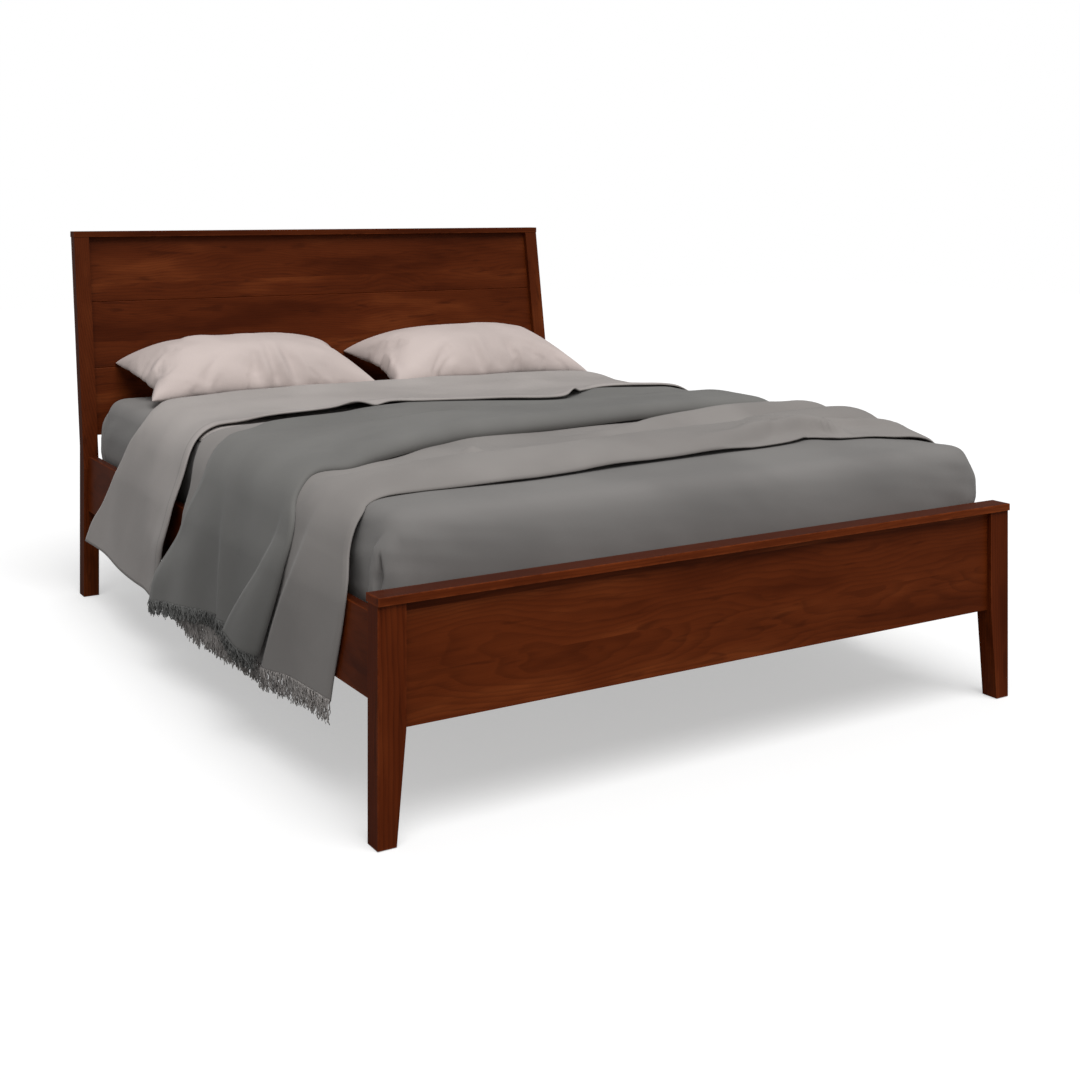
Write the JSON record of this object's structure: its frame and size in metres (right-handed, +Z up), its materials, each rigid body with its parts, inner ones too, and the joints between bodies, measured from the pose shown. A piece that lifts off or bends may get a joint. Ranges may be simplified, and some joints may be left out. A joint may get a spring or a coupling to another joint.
{
  "type": "panel bed",
  "caption": "Wooden panel bed with a low footboard, a leaning planked headboard, slats on a centre beam, mattress, pillows, throws and a turned-down coverlet.",
  "frame": {"origin": "on the floor, under the middle of the whole bed", "axes": "+X towards the right side seen from the foot, +Y towards the headboard, +Z up"},
  "size_m": [1.6688, 2.257, 1.084],
  "materials": {
    "stained_cherry": "satin lacquer over a dark reddish-brown stain, straight to cathedral grain",
    "support_wood": "plain planed hardwood, unstained",
    "dowel_wood": "plain beech dowel",
    "zinc_steel": "zinc plated steel",
    "brass_insert": "plain brass",
    "glide_plastic": "matt dark brown plastic",
    "mattress_ticking": "plain woven ticking",
    "sheet_fabric": "smooth woven cotton, warm grey",
    "pillow_fabric": "smooth woven cotton, pale warm grey",
    "light_throw_fabric": "soft twill with a fringed edge, taupe",
    "dark_throw_fabric": "soft twill with a fringed edge, warm dark grey",
    "coverlet_fabric": "smooth woven cotton with a stitched hem, light taupe"
  },
  "bodies": {
    "bed_frame": {"beam_bracket_foot": "zinc_steel", "beam_bracket_head": "zinc_steel", "cap_dowels": "dowel_wood", "catch_plate_foot_left": "zinc_steel", "catch_plate_foot_right": "zinc_steel", "catch_plate_head_left": "zinc_steel", "catch_plate_head_right": "zinc_steel", "centre_beam": "support_wood", "centre_leg_foot": "support_wood", "centre_leg_head": "support_wood", "fitted_sheet": "sheet_fabric", "footboard_cap": "stained_cherry", "footboard_panel": "stained_cherry", "footboard_post_left": "stained_cherry", "footboard_post_right": "stained_cherry", "hanger_bolts": "zinc_steel", "headboard_cap": "stained_cherry", "headboard_plank_lower": "stained_cherry", "headboard_plank_middle": "stained_cherry", "headboard_plank_upper": "stained_cherry", "headboard_post_left": "stained_cherry", "headboard_post_right": "stained_cherry", "headboard_stretcher": "stained_cherry", "hook_plate_foot_left": "zinc_steel", "hook_plate_foot_right": "zinc_steel", "hook_plate_head_left": "zinc_steel", "hook_plate_head_right": "zinc_steel", "mattress": "mattress_ticking", "pillow_left": "pillow_fabric", "pillow_right": "pillow_fabric", "plate_screws": "zinc_steel", "post_glide_foot_left": "glide_plastic", "post_glide_foot_right": "glide_plastic", "post_glide_head_left": "glide_plastic", "post_glide_head_right": "glide_plastic", "side_rail_left": "stained_cherry", "side_rail_right": "stained_cherry", "slat_01": "support_wood", "slat_02": "support_wood", "slat_03": "support_wood", "slat_04": "support_wood", "slat_05": "support_wood", "slat_06": "support_wood", "slat_07": "support_wood", "slat_08": "support_wood", "slat_09": "support_wood", "slat_10": "support_wood", "slat_11": "support_wood", "slat_12": "support_wood", "slat_cleat_left": "support_wood", "slat_cleat_right": "support_wood", "threaded_inserts": "brass_insert", "throw_dark": "dark_throw_fabric", "throw_light": "light_throw_fabric", "turned_down_coverlet": "coverlet_fabric", "wood_screws": "zinc_steel"},
    "levelling_foot_foot": {"levelling_stem_foot": "zinc_steel", "levelling_pad_foot": "glide_plastic"},
    "levelling_foot_head": {"levelling_stem_head": "zinc_steel", "levelling_pad_head": "glide_plastic"}
  },
  "joints": [
    {"name": "levelling_screw_foot", "type": "slide", "parent": "bed_frame", "child": "levelling_foot_foot", "axis": [0, 0, 1], "range_m": [-0.01, 0.012]},
    {"name": "levelling_screw_head", "type": "slide", "parent": "bed_frame", "child": "levelling_foot_head", "axis": [0, 0, 1], "range_m": [-0.01, 0.012]}
  ]
}
